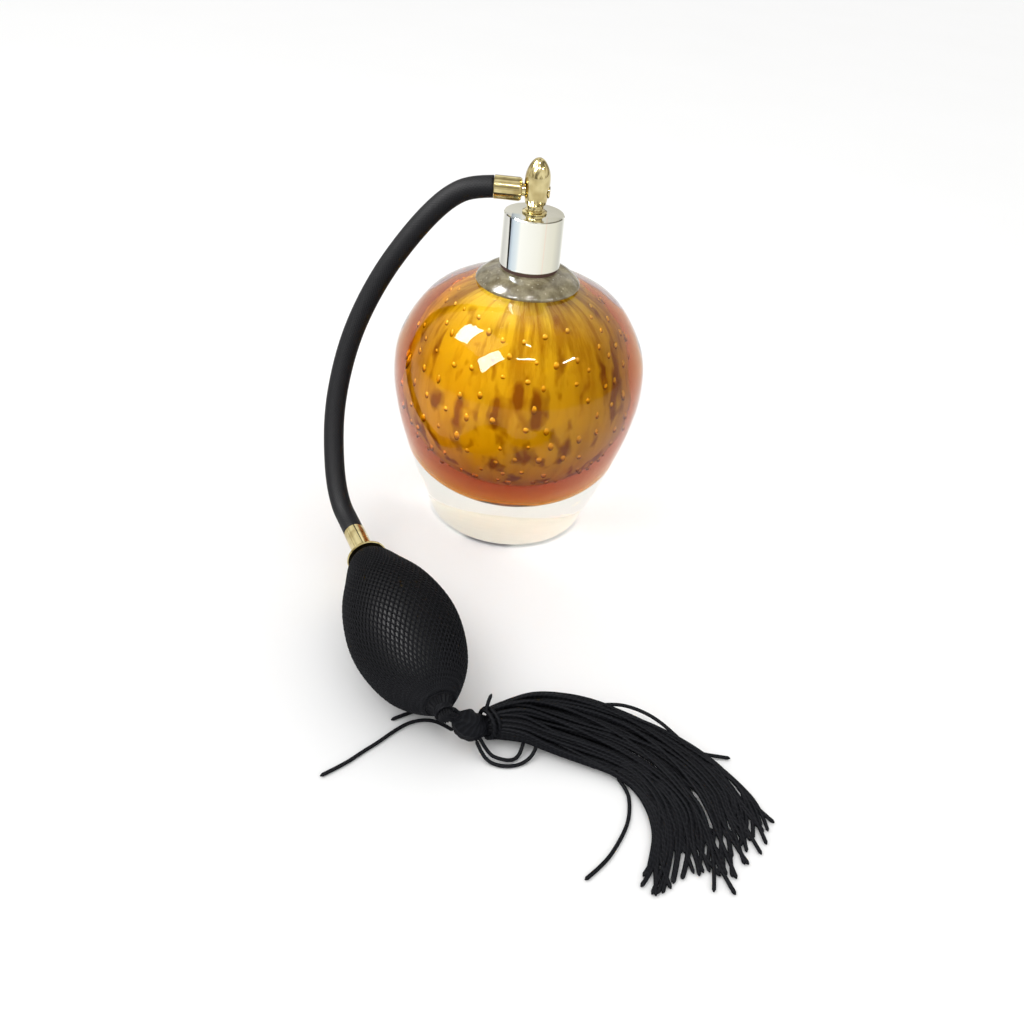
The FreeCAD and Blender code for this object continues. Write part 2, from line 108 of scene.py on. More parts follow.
class Graph:
    """One node material, with short calls to add and join its nodes."""

    def __init__(self, name, **sockets):
        self.mat = bpy.data.materials.new(name)
        self.mat.use_nodes = True
        self.nodes = self.mat.node_tree.nodes
        self.bsdf = self.nodes["Principled BSDF"]
        self.out = self.nodes["Material Output"]
        self.fill(self.bsdf, sockets)

    def fill(self, n, sockets):
        for key, value in sockets.items():
            self.join(value, n.inputs[key.replace("_", " ")])

    def join(self, value, socket):
        if isinstance(value, bpy.types.NodeSocket):
            self.mat.node_tree.links.new(value, socket)
        elif socket.type == "RGBA" and len(value) == 3:
            socket.default_value = (*value, 1.0)
        else:
            socket.default_value = value

    def add(self, kind, settings=None, **sockets):
        n = self.nodes.new("ShaderNode" + kind)
        for key, value in (settings or {}).items():
            setattr(n, key, value)
        self.fill(n, sockets)
        return n

    def math(self, operation, *values):
        n = self.add("Math", {"operation": operation})
        for socket, value in zip(n.inputs, values):
            self.join(value, socket)
        return n.outputs[0]

    def coords(self, which="Object"):
        return self.add("TexCoord").outputs[which]

    def scaled(self, vector, scale):
        return self.add("Mapping", Vector=vector, Scale=scale).outputs[0]

    def noise(self, vector, scale, detail=3.0, rough=0.5):
        return self.add("TexNoise", Vector=vector, Scale=scale, Detail=detail, Roughness=rough).outputs["Fac"]

    def ramp(self, fac, stops):
        n = self.add("ValToRGB", Fac=fac)
        set_stops(n, stops)
        return n.outputs["Color"]

    def mask(self, fac, low, high):
        """Black while fac is under low, white when it is over high."""
        return self.ramp(fac, [(low, BLACK), (high, WHITE)])

    def span(self, value, start, end):
        """A number that runs from 0 to 1 as value runs from start to end."""
        return self.add("MapRange", Value=value, From_Min=start, From_Max=end).outputs[0]

    def between(self, fac, low, high):
        """A number that runs from low to high as fac runs from 0 to 1."""
        return self.add("MapRange", Value=fac, To_Min=low, To_Max=high).outputs[0]

    def mix(self, fac, a, b, how="MIX"):
        n = self.add("Mix", {"data_type": "RGBA", "blend_type": how})
        for socket, value in zip((n.inputs[0], n.inputs[6], n.inputs[7]), (fac, a, b)):
            self.join(value, socket)
        return n.outputs[2]

    def bump(self, height, strength, distance):
        n = self.add("Bump", Height=height, Strength=strength, Distance=distance)
        self.join(n.outputs[0], self.bsdf.inputs["Normal"])

    def absorb(self, colour, density):
        """Soak up light inside the piece, the more the deeper it goes."""
        soak = self.add("VolumeAbsorption", Color=colour, Density=density)
        self.join(soak.outputs[0], self.out.inputs["Volume"])

    def glow(self, colour):
        """The same colour for the surface and for the light it gives off."""
        self.join(colour, self.bsdf.inputs["Base Color"])
        self.join(colour, self.bsdf.inputs["Emission Color"])


FINE_MARKS = 900.0


def metal(name, colour, tarnish_and_dark_reflection_colour, rough):
    """Polished plated metal: faint handling marks in its roughness, and slow patches of a duller tone, part
    tarnish and part painted darker reflection.
    """
    g = Graph(name, Metallic=1.0)
    place = g.coords()
    marks = g.noise(place, FINE_MARKS, 4.0, 0.65)
    patches = g.noise(place, 170.0, 2.0)
    # patches that are part tarnish, part painted darker reflection
    tarnish_and_dark_reflection = g.mask(patches, 0.42, 0.68)
    g.fill(g.bsdf, {
        "Base Color": g.mix(tarnish_and_dark_reflection, colour, tarnish_and_dark_reflection_colour),
        "Roughness": g.between(marks, rough * 0.55, rough * 1.6)})
    g.bump(g.noise(place, FINE_MARKS * 0.4, 2.0), 0.05, 0.0002)
    return g.mat


CAP_CREAM = (0.80, 0.785, 0.69)
# Painted reflections across the front of the cap, from its left side (0) to its right side (1).
CAP_PAINTED_REFLECTIONS = [
    (0.0, (0.46, 0.46, 0.42)), (0.09, (0.66, 0.65, 0.60)), (0.13, (0.76, 0.76, 0.70)),
    (0.145, (0.30, 0.35, 0.41)), (0.19, (0.55, 0.63, 0.68)), (0.27, (0.68, 0.74, 0.75)),
    (0.31, (0.86, 0.86, 0.80)), (0.62, (0.84, 0.83, 0.74)), (0.70, (0.80, 0.78, 0.67)),
    (0.715, (0.82, 0.70, 0.58)), (0.73, (0.78, 0.76, 0.65)), (0.86, (0.74, 0.72, 0.60)),
    (1.0, (0.48, 0.48, 0.42))]


def cap_metal(name):
    """The cap's bright cream plating, with painted reflections across its front: darker to the sides, and a dark
    line and a faint blue band down one side.
    """
    g = Graph(name, Metallic=1.0)
    place = g.coords()
    xyz = g.add("SeparateXYZ", Vector=place)
    across = g.span(xyz.outputs[0], -0.010, 0.010)
    front = g.span(xyz.outputs[1], -0.002, -0.004)
    # painted reflections of the room, laid into the base colour of the cap's front
    painted_reflection = g.ramp(across, CAP_PAINTED_REFLECTIONS)
    marks = g.noise(place, 500.0, 4.0, 0.65)
    g.fill(g.bsdf, {
        "Base Color": g.mix(front, CAP_CREAM, painted_reflection),
        "Roughness": g.between(marks, 0.03, 0.08)})
    g.bump(g.noise(place, 200.0, 2.0), 0.04, 0.0002)
    return g.mat


def plain(name, colour, other, rough, scale, height=0.0, **sockets):
    """A mottled solid of two close tones with a grainy surface."""
    g = Graph(name, **sockets)
    place = g.coords()
    grain = g.noise(place, scale, 4.0, 0.6)
    g.fill(g.bsdf, {
        "Base Color": g.mix(grain, colour, other),
        "Roughness": g.between(grain, rough - 0.1, rough + 0.1)})
    if height:
        g.bump(grain, 0.5, height)
    return g.mat


def twisted_cord(name, colour, lit, pitch, plies):
    """Black twisted cord with painted shade, darker in the grooves between the plies and lighter on their crowns:
    the plies are worked out from length along the cord (u, in mm) and turn (v).
    """
    g = Graph(name, Specular_IOR_Level=0.06)
    where = g.add("SeparateXYZ", Vector=g.coords("UV"))
    along = g.math("MULTIPLY", where.outputs[0], 1.0 / pitch)
    round_ = g.math("MULTIPLY", where.outputs[1], float(plies))
    phase = g.math("MULTIPLY", g.math("ADD", along, round_), TURN)
    ply = g.between(g.math("SINE", phase), 0.3, 0.7)
    fibres = g.noise(g.coords(), 5200.0, 2.0)
    shade = g.math("MULTIPLY", ply, g.between(fibres, 0.6, 1.4))
    # painted shade of the plies, with fibre grain, in the base colour
    g.fill(g.bsdf, {
        "Base Color": g.mix(shade, colour, lit),
        "Roughness": g.between(fibres, 0.5, 0.75)})
    g.bump(ply, 0.8, 0.0002)
    return g.mat


RIBS_PER_MM = 0.9
RIBS_AROUND = 22.0


def woven_rubber(name):
    """Hose cover: black rubber with the fine crossing ribs that its fabric left in it."""
    g = Graph(name, Specular_IOR_Level=0.14)
    where = g.add("SeparateXYZ", Vector=g.coords("UV"))
    along = g.math("MULTIPLY", where.outputs[0], RIBS_PER_MM)
    turn = g.math("MULTIPLY", where.outputs[1], RIBS_AROUND)
    one = g.math("SINE", g.math("MULTIPLY", g.math("ADD", along, turn), TURN))
    two = g.math("SINE", g.math("MULTIPLY", g.math("SUBTRACT", along, turn), TURN))
    ribs = g.math("MAXIMUM", one, two)
    grain = g.noise(g.coords(), 2400.0, 3.0)
    g.fill(g.bsdf, {
        "Base Color": g.mix(g.between(ribs, 0.0, 0.8), (0.003, 0.003, 0.004), (0.011, 0.011, 0.014)),
        "Roughness": g.between(grain, 0.42, 0.62)})
    g.bump(g.math("ADD", g.math("MULTIPLY", ribs, 0.7), grain), 0.5, 0.0001)
    return g.mat


SURFACES_FOLLOWED = 4.5


def clear_glass(name):
    """Thick clear glass, a little wavy as hand-made glass is, and faintly grey-beige in depth.

    It reflects less than plain glass. Light that has met more surfaces than SURFACES_FOLLOWED passes
    straight through it, because a path that is cut short in the glass would leave a dark patch.
    """
    g = Graph(name, Base_Color=(0.99, 0.99, 0.985), Transmission_Weight=1.0, IOR=1.5, Roughness=0.0,
              Specular_Tint=(0.4, 0.4, 0.4))
    g.bump(g.noise(g.coords(), 38.0, 1.0), 0.06, 0.0004)
    early = g.math("LESS_THAN", g.add("LightPath").outputs["Ray Depth"], SURFACES_FOLLOWED)
    g.join(early, g.bsdf.inputs["Alpha"])
    g.absorb((0.86, 0.85, 0.80), 20.0)
    return g.mat


def ring_glass(name):
    """The flared ring at the neck: smoky olive glass, cloudy, with painted glints in it as small bright spots."""
    g = Graph(name, Transmission_Weight=0.25, IOR=1.5)
    place = g.coords()
    cloud = g.noise(place, 260.0, 4.0, 0.6)
    painted_glint_spots = g.add("TexVoronoi", Vector=place, Scale=640.0).outputs["Distance"]
    # painted glints: small bright spots laid into the base colour
    bright = g.ramp(painted_glint_spots, [(0.0, WHITE), (0.20, BLACK)])
    body = g.mix(g.mask(cloud, 0.35, 0.65), (0.15, 0.12, 0.065), (0.40, 0.35, 0.22))
    g.fill(g.bsdf, {
        "Base Color": g.mix(g.math("MULTIPLY", bright, 0.8), body, (0.95, 0.88, 0.70)),
        "Roughness": g.between(cloud, 0.08, 0.22)})
    g.bump(cloud, 0.25, 0.0003)
    return g.mat


LAYER_IOR = 1.02


def layer_glass(name, surface, waves, colour, density):
    """A coloured layer inside the casing. It hardly bends light, and its tint deepens with its depth."""
    g = Graph(name, Base_Color=surface, Transmission_Weight=1.0, IOR=LAYER_IOR, Roughness=0.0)
    g.bump(g.noise(g.coords(), waves, 1.0), 0.08, 0.0005)
    g.absorb(colour, density)
    return g.mat


GLINT_TOWARD = (-0.42, -0.50, 0.757)
GLINT_GLOW = 0.6


def bubble_skin(name):
    """Air bubbles in gold glass, with painted shade and light: pale above, brown beneath, and a painted highlight
    that glows on the upper left.
    """
    g = Graph(name, Specular_IOR_Level=0.9)
    normal = g.add("NewGeometry").outputs["Normal"]
    turned_up = g.span(g.add("SeparateXYZ", Vector=normal).outputs[2], -1.0, 1.0)
    toward = g.add("VectorMath", {"operation": "DOT_PRODUCT"})
    g.join(normal, toward.inputs[0])
    toward.inputs[1].default_value = GLINT_TOWARD
    glint = g.mask(toward.outputs["Value"], 0.93, 0.97)
    # painted shade: pale where the surface faces up, brown where it faces down
    tone = g.ramp(turned_up, [
        (0.30, (0.10, 0.03, 0.005)), (0.47, (0.34, 0.16, 0.02)), (0.60, (0.72, 0.52, 0.14))])
    # the painted highlight is also given off as glow
    g.glow(g.mix(glint, tone, (1.0, 0.97, 0.75)))
    g.join(g.math("MULTIPLY", glint, GLINT_GLOW), g.bsdf.inputs["Emission Strength"])
    g.join(g.between(g.noise(g.coords(), 900.0), 0.06, 0.2), g.bsdf.inputs["Roughness"])
    return g.mat


# The painted dark reflection on the foot, a crescent, in metres: its front edge, its place and its half width.
PAINTED_CRESCENT_FRONT = (-0.0225, -0.0250)
PAINTED_CRESCENT_SHIFT = 0.0055
PAINTED_CRESCENT_SIDE = (0.0095, 0.0075)


def ground_foot(name):
    """The ground underside seen through the clear base: pale, with a painted glow, and a painted dark reflection
    as a crescent in front.
    """
    # the whole underside glows slightly: painted light
    g = Graph(name, Specular_IOR_Level=0.1, Emission_Strength=0.1)
    place = g.coords()
    xyz = g.add("SeparateXYZ", Vector=place)
    ahead = g.span(xyz.outputs[1], *PAINTED_CRESCENT_FRONT)
    aside = g.math("ABSOLUTE", g.math("ADD", xyz.outputs[0], PAINTED_CRESCENT_SHIFT))
    near = g.span(aside, *PAINTED_CRESCENT_SIDE)
    ragged = g.between(g.noise(place, 420.0), 0.6, 1.5)
    # painted dark reflection, a crescent near the front edge
    painted_crescent = g.math("MINIMUM", g.math("MULTIPLY", g.math("MULTIPLY", ahead, near), ragged), 1.0)
    grain = g.noise(place, 240.0, 3.0)
    pale = g.mix(grain, (0.64, 0.65, 0.60), (0.73, 0.735, 0.69))
    g.glow(g.mix(painted_crescent, pale, (0.035, 0.008, 0.016)))
    g.join(g.between(grain, 0.6, 0.9), g.bsdf.inputs["Roughness"])
    return g.mat


# Heights in metres between which the streaks take over from the blotches.
STREAKS_FROM, STREAKS_FULL = 0.060, 0.088


def gold_core(name):
    """The inner layer: gold, with brown streaks drawn towards the neck and brown blotches lower down."""
    g = Graph(name, Specular_IOR_Level=0.1)
    place = g.coords()
    xyz = g.add("SeparateXYZ", Vector=place)
    flat = g.add("CombineXYZ", X=xyz.outputs[0], Y=xyz.outputs[1])
    facing = g.add("VectorMath", {"operation": "NORMALIZE"})
    g.join(flat.outputs[0], facing.inputs[0])
    compass = g.add("SeparateXYZ", Vector=facing.outputs[0])
    streak_at = g.add("CombineXYZ", X=compass.outputs[0], Y=compass.outputs[1],
                      Z=g.math("MULTIPLY", xyz.outputs[2], 9.0))
    folds = g.noise(streak_at.outputs[0], 3.4, 2.0, 0.5)
    hairs = g.noise(streak_at.outputs[0], 13.0, 3.0, 0.7)
    high = g.span(xyz.outputs[2], STREAKS_FROM, STREAKS_FULL)
    streaks = g.math("ADD", g.math("MULTIPLY", folds, 0.62), g.math("MULTIPLY", hairs, 0.38))
    fold_mask = g.math("MULTIPLY", g.mask(streaks, 0.45, 0.58), g.between(high, 0.25, 0.9))
    blotch_at = g.scaled(place, (1.0, 1.0, 0.42))
    wander = g.add("TexNoise", Vector=place, Scale=120.0).outputs["Color"]
    bent = g.add("Mix", {"data_type": "VECTOR"})
    for number, value in ((0, 0.004), (4, blotch_at), (5, wander)):
        g.join(value, bent.inputs[number])
    blotches = g.noise(bent.outputs[1], 205.0, 1.6, 0.5)
    gather = g.noise(g.scaled(place, (1.0, 1.0, 0.7)), 48.0, 1.0)
    low = g.math("SUBTRACT", 1.0, high)
    gathered = g.math("ADD", blotches, g.between(gather, -0.16, 0.16))
    blotches = g.math("MULTIPLY", gathered, g.between(low, 0.8, 1.04))
    blotch_mask = g.ramp(blotches, [(0.53, BLACK), (0.60, (0.55, 0.55, 0.55)), (0.68, WHITE)])
    tone = g.noise(streak_at.outputs[0], 2.2, 2.0)
    gold = g.mix(tone, (0.58, 0.515, 0.13), (0.50, 0.365, 0.05))
    darker = g.mix(g.math("MULTIPLY", fold_mask, 0.95), gold, (0.21, 0.088, 0.008))
    colour = g.mix(g.math("MULTIPLY", blotch_mask, 0.88), darker, (0.16, 0.045, 0.005))
    g.fill(g.bsdf, {"Base Color": colour, "Roughness": g.between(tone, 0.25, 0.4)})
    g.bump(streaks, 0.2, 0.0006)
    return g.mat


PALE_GOLD = metal("pale_gold_plate", (0.69, 0.59, 0.31), (0.36, 0.27, 0.10), 0.09)
BRASS = metal("brass_under_cap", (0.70, 0.50, 0.20), (0.50, 0.34, 0.12), 0.25)
CAP_METAL = cap_metal("cap_plate")
STEEL = metal("valve_steel", (0.62, 0.62, 0.64), (0.50, 0.50, 0.52), 0.2)
GASKET = plain("gasket_cork", (0.10, 0.035, 0.018), (0.05, 0.015, 0.01), 0.6, 1400.0, 0.0001)
CEMENT = plain("cement", (0.52, 0.47, 0.38), (0.40, 0.36, 0.29), 0.8, 1500.0, 0.0002)
WASHER = plain("washer_rubber", (0.02, 0.02, 0.02), (0.035, 0.033, 0.03), 0.7, 2200.0, 0.0001)
TUBE = plain("tube_plastic", (0.86, 0.86, 0.82), (0.78, 0.78, 0.73), 0.3, 700.0)
HOSE = woven_rubber("hose_rubber")
BULB_RUBBER = plain("bulb_rubber", (0.002, 0.002, 0.0025), (0.005, 0.005, 0.006), 0.5, 1800.0, 0.0001,
                    Specular_IOR_Level=0.2)
NET = twisted_cord("net_cord", (0.001, 0.001, 0.002), (0.017, 0.018, 0.022), 1.1, 2)
STRAND = twisted_cord("tassel_cord", (0.0015, 0.0015, 0.0025), (0.013, 0.014, 0.018), 1.5, 2)
CASING = clear_glass("bottle_clear_glass")
RING_GLASS = ring_glass("neck_ring_glass")
AMBER = layer_glass("bottle_amber_glass", (1.0, 0.99, 0.96), 60.0, (0.967, 0.882, 0.0), 450.0)
MAUVE = layer_glass("bottle_mauve_glass", (0.99, 0.98, 0.99), 50.0, (0.90, 0.73, 0.82), 64.0)
GROUND_FOOT = ground_foot("bottle_ground_foot")
CORE = gold_core("bottle_gold_core")
BEAD = bubble_skin("bubble_skin")

CAD_FINISH = {
    "gasket_cork": GASKET, "cement": CEMENT, "brass_plain": BRASS, "gilt_brass": PALE_GOLD,
    "cap_metal": CAP_METAL, "washer_rubber": WASHER, "tube_plastic": TUBE,
    "bulb_rubber": BULB_RUBBER, "valve_steel": STEEL,
}


def finish_cad_nodes():
    """Every CAD node that stays in view takes the finish of its slot, which its first material is named after."""
    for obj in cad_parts.values():
        slot_name = obj.data.materials[0].name if obj.data.materials else ""
        finish = CAD_FINISH.get(slot_name.split(".")[0])
        if finish is None:
            continue
        for k in range(len(obj.data.materials)):
            obj.data.materials[k] = finish


# ---------------------------------------------------------------- meshes
def make_mesh(name, verts, faces, mat, uvs=None, smooth=True):
    """A mesh object from points in mm; uvs holds one pair per face corner."""
    data = bpy.data.meshes.new(name)
    data.from_pydata([tuple(Vector(v) * MM) for v in verts], [], faces)
    if uvs is not None:
        layer = data.uv_layers.new(name="UVMap")
        layer.data.foreach_set("uv", np.asarray(uvs, np.float32).ravel())
    data.polygons.foreach_set("use_smooth", [smooth] * len(data.polygons))
    data.materials.append(mat)
    data.update()
    obj = bpy.data.objects.new(name, data)
    bpy.context.scene.collection.objects.link(obj)
    return obj


STEPS_A_SPAN = 24


def through(points, count):
    """Points along a smooth line through the given ones (centripetal Catmull-Rom), evenly spaced."""
    p = np.asarray(points, float)
    p = np.vstack([2 * p[0] - p[1], p, 2 * p[-1] - p[-2]])
    out = []
    for k in range(1, len(p) - 2):
        a, b, c, d = p[k - 1:k + 3]
        knots = [0.0]
        for m, n in ((a, b), (b, c), (c, d)):
            knots.append(knots[-1] + max(np.linalg.norm(n - m), 1e-9) ** 0.5)
        t0, t1, t2, t3 = knots
        for t in np.linspace(t1, t2, STEPS_A_SPAN, endpoint=False):
            ab = (t1 - t) / (t1 - t0) * a + (t - t0) / (t1 - t0) * b
            bc = (t2 - t) / (t2 - t1) * b + (t - t1) / (t2 - t1) * c
            cd = (t3 - t) / (t3 - t2) * c + (t - t2) / (t3 - t2) * d
            abc = (t2 - t) / (t2 - t0) * ab + (t - t0) / (t2 - t0) * bc
            bcd = (t3 - t) / (t3 - t1) * bc + (t - t1) / (t3 - t1) * cd
            out.append((t2 - t) / (t2 - t1) * abc + (t - t1) / (t2 - t1) * bcd)
    out.append(p[-2])
    return even(np.array(out), count)


def distances(points):
    """How far along a line each of its points lies."""
    return np.concatenate([[0.0], np.cumsum(np.linalg.norm(np.diff(points, axis=0), axis=1))])


def even(points, count):
    """The same line with count points, evenly spaced along it."""
    run = distances(points)
    places = np.linspace(0.0, run[-1], count)
    return np.stack([np.interp(places, run, points[:, k]) for k in range(points.shape[1])], axis=1)


def length_of(points):
    return float(np.linalg.norm(np.diff(points, axis=0), axis=1).sum())


def nurbs_line(route, spacing):
    """Points in mm, about spacing apart, on the NURBS line whose control points are route (mm)."""
    curve = bpy.data.curves.new("route", "CURVE")
    curve.dimensions = "3D"
    curve.resolution_u = 24
    spline = curve.splines.new("NURBS")
    spline.points.add(len(route) - 1)
    for point, place in zip(spline.points, route):
        point.co = (*(Vector(place) * MM), 1.0)
    spline.order_u = 3
    spline.use_endpoint_u = True
    holder = bpy.data.objects.new("route", curve)
    bpy.context.scene.collection.objects.link(holder)
    bpy.context.view_layer.update()
    line = bpy.data.meshes.new_from_object(holder)
    points = np.array([v.co for v in line.vertices], float) / MM
    bpy.data.objects.remove(holder)
    bpy.data.curves.remove(curve)
    bpy.data.meshes.remove(line)
    return even(points, max(4, int(length_of(points) / spacing)))


def side_frames(points):
    """For each point of a line, two unit vectors square to it that turn as little as they can."""
    tangents = np.gradient(points, axis=0)
    tangents /= np.linalg.norm(tangents, axis=1)[:, None]
    side = np.cross(tangents[0], np.array(UP))
    if np.linalg.norm(side) < 1e-3:
        side = np.cross(tangents[0], np.array((1.0, 0.0, 0.0)))
    sides = []
    for tangent in tangents:
        side = side - tangent * side.dot(tangent)
        side = side / np.linalg.norm(side)
        sides.append(side)
    sides = np.array(sides)
    return sides, np.cross(tangents, sides)


def tube_mesh(points, radius, sides, closed=False):
    """Verts, faces and corner uvs (length in mm, turn) of a round tube along points.

    radius is one number, or one for each point. A closed line comes back to its start and gets no end faces.
    """
    count = len(points)
    radii = np.full(count, radius) if np.isscalar(radius) else np.asarray(radius)
    one, two = side_frames(points)
    angles = np.arange(sides) * TURN / sides
    ring = np.cos(angles)[None, :, None] * one[:, None, :] + np.sin(angles)[None, :, None] * two[:, None, :]
    verts = (points[:, None, :] + ring * radii[:, None, None]).reshape(-1, 3)
    run = distances(points)
    faces, uvs = [], []
    for k in range(count - 1):
        for m in range(sides):
            n = (m + 1) % sides
            faces.append((k * sides + m, k * sides + n, (k + 1) * sides + n, (k + 1) * sides + m))
            left, right = m / sides, (m + 1) / sides
            uvs += [(run[k], left), (run[k], right), (run[k + 1], right), (run[k + 1], left)]
    if not closed:
        faces.append(tuple(range(sides - 1, -1, -1)))
        faces.append(tuple((count - 1) * sides + m for m in range(sides)))
        uvs += [(0.0, m / sides) for m in range(sides)] + [(run[-1], m / sides) for m in range(sides)]
    return verts, faces, uvs


def joined(parts):
    """Several (verts, faces, uvs) sets as one."""
    verts, faces, uvs, start = [], [], [], 0
    for some_verts, some_faces, some_uvs in parts:
        verts.append(some_verts)
        faces += [tuple(start + i for i in face) for face in some_faces]
        uvs += some_uvs
        start += len(some_verts)
    return np.vstack(verts), faces, uvs


def rounded_ends(points, radius):
    """Radii of a cord whose two ends are rounded off."""
    run = distances(points)
    edge = np.minimum(run, run[-1] - run)
    share = np.clip(edge / (0.6 * radius * 2), 0, 1)
    return radius * np.sqrt(np.clip(1.0 - (1.0 - share) ** 2, 0.12, 1.0))


def turned_mesh(profile, segments, closed=False):
    """Verts and faces of a profile of (radius, height) turned about Z. Points on the axis become poles."""
    verts, rows = [], []
    for radius, height in profile:
        if radius < 1e-6:
            rows.append([len(verts)] * segments)
            verts.append((0.0, 0.0, height))
        else:
            rows.append(list(range(len(verts), len(verts) + segments)))
            angles = [TURN * m / segments for m in range(segments)]
            verts += [(radius * math.cos(a), radius * math.sin(a), height) for a in angles]
    faces = []
    pairs = list(zip(rows, rows[1:])) + ([(rows[-1], rows[0])] if closed else [])
    for low, high in pairs:
        for m in range(segments):
            n = (m + 1) % segments
            face = tuple(dict.fromkeys([low[m], low[n], high[n], high[m]]))
            if len(face) > 2:
                faces.append(face)
    return verts, faces


# ---------------------------------------------------------------- hose
HOSE_ROUTE = [
    (-13.8, 0.0, 124.3), (-20.6, 0.0, 123.7), (-27.4, -0.6, 120.4), (-34.3, -1.9, 113.8),
    (-41.3, -3.5, 105.0), (-48.2, -5.2, 94.8), (-54.2, -7.4, 83.6), (-59.1, -10.5, 71.6),
    (-62.3, -14.9, 58.9), (-63.8, -20.6, 46.2), (-63.0, -27.2, 34.8), (-61.1, -33.9, 25.4),
    (-58.1, -39.8, 19.4), (-54.6, -44.9, 17.4), (-51.3, -51.14, 17.4)]
HOSE_RADIUS = 3.5
HOSE_SPACING = 0.8
HOSE_SIDES = 32


def make_hose():
    line = nurbs_line(HOSE_ROUTE, HOSE_SPACING)
    verts, faces, uvs = tube_mesh(line, HOSE_RADIUS, HOSE_SIDES)
    hose = make_mesh("hose", verts, faces, HOSE, uvs)
    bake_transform(hose)
    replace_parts(hose, "rubber_hose")


make_hose()


# ---------------------------------------------------------------- tassel
CORD_RADIUS = 0.57
# Stations along the tassel: its back edge, its front edge (x, y) and its height, in mm.
STATIONS = [
    ((0.6, -115.8), (1.0, -122.4), 10.0), ((8.6, -109.6), (9.8, -123.3), 12.6),
    ((19.6, -106.2), (19.0, -125.4), 12.6), ((33.4, -106.8), (29.5, -128.2), 10.2),
    ((46.6, -110.0), (38.5, -130.6), 7.6), ((58.6, -115.8), (45.0, -134.6), 5.2),
    ((68.4, -121.8), (48.4, -141.4), 3.8), ((75.8, -128.8), (49.4, -148.6), 2.8)]
# Where the outer strands end on the table, from the back edge round to the front, in mm.
TIPS = [
    (85.0, -142.6), (80.3, -148.6), (76.4, -152.0), (73.2, -155.6), (70.4, -159.4), (67.7, -163.8),
    (63.8, -158.4), (59.9, -160.7), (56.6, -160.5), (53.0, -164.0), (49.4, -167.2), (46.2, -162.0)]
LEFT_STRAY = [
    (-8.7, -121.4, 3.2), (-12.6, -117.6, 1.4), (-16.9, -116.2, 0.65), (-21.8, -117.7, 0.65),
    (-26.0, -121.6, 0.65), (-30.2, -126.6, 0.65), (-34.0, -130.4, 0.65), (-38.2, -135.2, 0.65),
    (-44.0, -139.8, 0.65)]
SHORT_STRAY = [
    (-8.2, -118.4, 3.0), (-12.6, -114.4, 1.3), (-17.4, -112.6, 0.65), (-22.4, -113.9, 0.65),
    (-27.6, -117.7, 0.65)]
RIGHT_STRAY = [
    (40.0, -131.0, 1.2), (43.0, -134.6, 0.65), (43.4, -139.8, 0.65), (42.6, -145.6, 0.65),
    (39.4, -152.4, 0.65), (35.5, -158.6, 0.65), (30.4, -163.5, 0.65)]
ARCHED_STRAND = [
    (33.0, -109.0, 6.0), (39.0, -107.6, 6.2), (45.2, -107.8, 5.6), (52.0, -110.8, 5.2),
    (58.5, -116.4, 4.0), (62.6, -120.0, 2.4), (68.0, -119.4, 0.9), (74.6, -119.6, 0.65)]
FRONT_LOOP = [
    (-1.6, -125.6, 5.0), (0.8, -128.6, 1.6), (4.4, -130.4, 0.65), (9.4, -130.4, 0.65),
    (13.6, -128.4, 0.8), (16.2, -125.0, 2.4), (16.6, -121.6, 4.4)]
INNER_LOOP = [
    (-1.0, -124.8, 6.0), (2.2, -127.6, 1.8), (5.8, -129.0, 1.75), (9.6, -128.4, 0.8),
    (11.8, -126.0, 1.2), (12.4, -122.6, 3.4)]
TOP_SPIKE = [(0.4, -119.8, 10.6), (0.6, -117.6, 12.6), (1.6, -116.0, 14.6)]
KNOT_ROUTE = [(-10.4, -124.9, 14.6), (-7.6, -124.2, 12.4), (-2.9, -122.6, 7.6), (2.6, -119.4, 6.4)]
KNOT_RINGS = 26
KNOT_AROUND = 24
KNOT_FOLDS = 5
STRAND_COUNT = 92
STRAND_SPACING = 0.7
STRAND_SIDES = 7
BUNDLE_EDGE = 0.98
GOLDEN = 0.618034
TABLE_GAP = 0.05

strand_pieces = []


def cord_piece(name, route, radius=CORD_RADIUS, declared=True):
    """A cord along the NURBS line of route, riding on the tassel. A declared one is listed in strand_pieces."""
    line = nurbs_line(route, STRAND_SPACING)
    line[:, 2] = np.maximum(line[:, 2], radius + TABLE_GAP)
    verts, faces, uvs = tube_mesh(line, rounded_ends(line, radius), STRAND_SIDES)
    obj = make_mesh(name, verts, faces, STRAND, uvs)
    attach(obj, "tassel")
    if declared:
        strand_pieces.append((obj, line, radius))
    return obj


